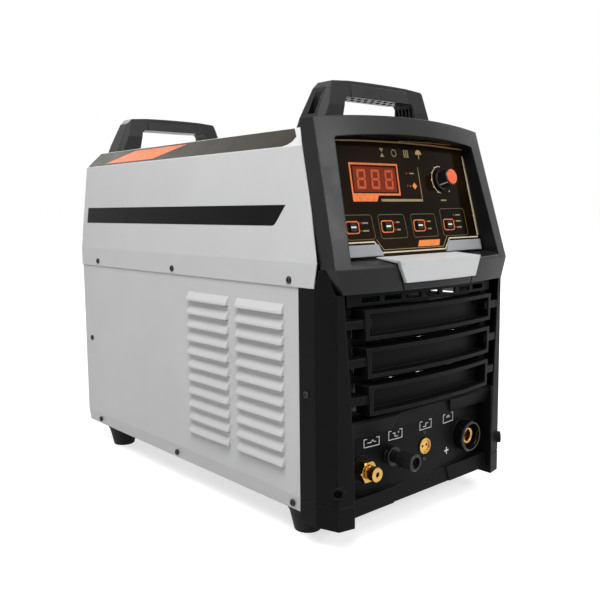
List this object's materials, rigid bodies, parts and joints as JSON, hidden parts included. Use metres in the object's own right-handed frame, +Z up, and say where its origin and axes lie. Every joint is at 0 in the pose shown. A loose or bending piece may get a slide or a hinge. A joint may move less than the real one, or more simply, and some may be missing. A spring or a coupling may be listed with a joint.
{
  "type": "plasma cutter unit",
  "caption": "Portable inverter plasma cutter: louvred sheet case with two carry handles, sloping control panel, bladed front grille and recessed connectors.",
  "frame": {"origin": "middle of the footprint on the floor", "axes": "+Z up, the control panel and connectors face -Y, +X to the right seen from the front"},
  "size_m": [0.312, 0.6395, 0.5033],
  "materials": {
    "grey_paint": "fine textured powder coat",
    "black_moulding": "fine grained",
    "dark_grip": "soft touch",
    "silver_trim": "satin silver",
    "panel_film": "smoked gloss",
    "display_red": "dark red gloss",
    "lamp": "clear gloss",
    "knob_black": "satin",
    "cap_orange": "gloss",
    "button_grey": "satin",
    "rubber": "matt",
    "steel_zinc": "zinc plated",
    "black_zinc": "black plated",
    "brass": "machined",
    "aluminium": "extruded",
    "board_green": "solder mask",
    "iron_varnish": "varnished",
    "bowl_clear": "clear",
    "gauge_white": "satin",
    "needle_red": "satin",
    "tube_blue": "semi gloss"
  },
  "bodies": {
    "case": {"base_tray": "grey_paint", "side_panel_left": "grey_paint", "side_panel_right": "grey_paint", "top_cover": "grey_paint", "case_screws": "black_zinc", "front_frame": "black_moulding", "front_grille": "black_moulding", "front_head": "black_moulding", "chin_plate": "silver_trim", "control_panel": "panel_film", "display_window": "display_red", "indicator_lamps": "lamp", "trim_block_left": "silver_trim", "trim_block_right": "silver_trim", "potentiometer": "steel_zinc", "control_board": "board_green", "front_handle": "black_moulding", "front_handle_grip": "dark_grip", "rear_handle": "black_moulding", "rear_handle_grip": "dark_grip", "handle_screws": "steel_zinc", "rubber_feet": "rubber", "foot_screws": "steel_zinc", "torch_connector": "brass", "pilot_stud": "black_zinc", "trigger_socket": "brass", "trigger_plate": "steel_zinc", "trigger_plate_screws": "steel_zinc", "output_socket_collar": "black_moulding", "output_socket_insert": "brass", "rear_panel": "grey_paint", "fan_frame": "black_moulding", "fan_guard": "steel_zinc", "mains_breaker": "black_moulding", "cable_gland": "black_moulding", "earth_stud": "brass", "regulator_bracket": "steel_zinc", "rear_screws": "steel_zinc", "regulator_body": "aluminium", "filter_bowl": "bowl_clear", "pressure_gauge": "gauge_white", "gauge_glass": "bowl_clear", "air_inlet_barb": "brass", "air_pipe": "tube_blue", "divider_shelf": "steel_zinc", "heat_sink": "aluminium", "main_board": "board_green", "transformer": "iron_varnish"},
    "current_knob": {"current_knob": "knob_black", "knob_cap": "cap_orange"},
    "button_1": {"button_1": "button_grey"},
    "button_2": {"button_2": "button_grey"},
    "button_3": {"button_3": "button_grey"},
    "button_4": {"button_4": "button_grey"},
    "pilot_clamp_disc": {"pilot_clamp_disc": "black_zinc"},
    "pilot_knob": {"pilot_knob": "knob_black"},
    "fan_rotor": {"fan_rotor": "black_moulding"},
    "breaker_lever": {"breaker_lever": "knob_black"},
    "regulator_knob": {"regulator_knob": "knob_black"},
    "gauge_needle": {"gauge_needle": "needle_red"}
  },
  "joints": [
    {"name": "current_knob_turn", "type": "hinge", "parent": "case", "child": "current_knob", "pos_m": [0.0669, -0.2567, 0.39204], "axis": [0, 0.9781, -0.2079], "range_deg": [0, 280]},
    {"name": "button_1_press", "type": "slide", "parent": "case", "child": "button_1", "axis": [0, 0.9781, -0.2079], "range_m": [0, 0.001], "stiffness_N_per_m": 400},
    {"name": "button_2_press", "type": "slide", "parent": "case", "child": "button_2", "axis": [0, 0.9781, -0.2079], "range_m": [0, 0.001], "stiffness_N_per_m": 400},
    {"name": "button_3_press", "type": "slide", "parent": "case", "child": "button_3", "axis": [0, 0.9781, -0.2079], "range_m": [0, 0.001], "stiffness_N_per_m": 400},
    {"name": "button_4_press", "type": "slide", "parent": "case", "child": "button_4", "axis": [0, 0.9781, -0.2079], "range_m": [0, 0.001], "stiffness_N_per_m": 400},
    {"name": "pilot_clamp_slide", "type": "slide", "parent": "case", "child": "pilot_clamp_disc", "axis": [0, -1, 0], "range_m": [0, 0.005]},
    {"name": "pilot_knob_turn", "type": "hinge", "parent": "pilot_clamp_disc", "child": "pilot_knob", "pos_m": [-0.053, -0.30629, 0.083], "axis": [0, -1, 0], "range_deg": [0, 1440]},
    {"name": "fan_spin", "type": "hinge", "parent": "case", "child": "fan_rotor", "pos_m": [-0.02, 0.2347, 0.15], "axis": [0, 1, 0], "continuous": true},
    {"name": "breaker_lever_throw", "type": "hinge", "parent": "case", "child": "breaker_lever", "pos_m": [-0.07, 0.2582, 0.34], "axis": [1, 0, 0], "range_deg": [0, 40]},
    {"name": "regulator_knob_turn", "type": "hinge", "parent": "case", "child": "regulator_knob", "pos_m": [0.09, 0.2817, 0.325], "axis": [0, 0, -1], "range_deg": [0, 1080]},
    {"name": "gauge_needle_turn", "type": "hinge", "parent": "case", "child": "gauge_needle", "pos_m": [0.09, 0.3117, 0.3], "axis": [0, -1, 0], "range_deg": [0, 270], "stiffness_Nm_per_rad": 0.002}
  ],
  "couplings": [
    {"joint": "pilot_knob_turn", "follows": "pilot_clamp_slide", "rad_per_m": 5026.5}
  ]
}
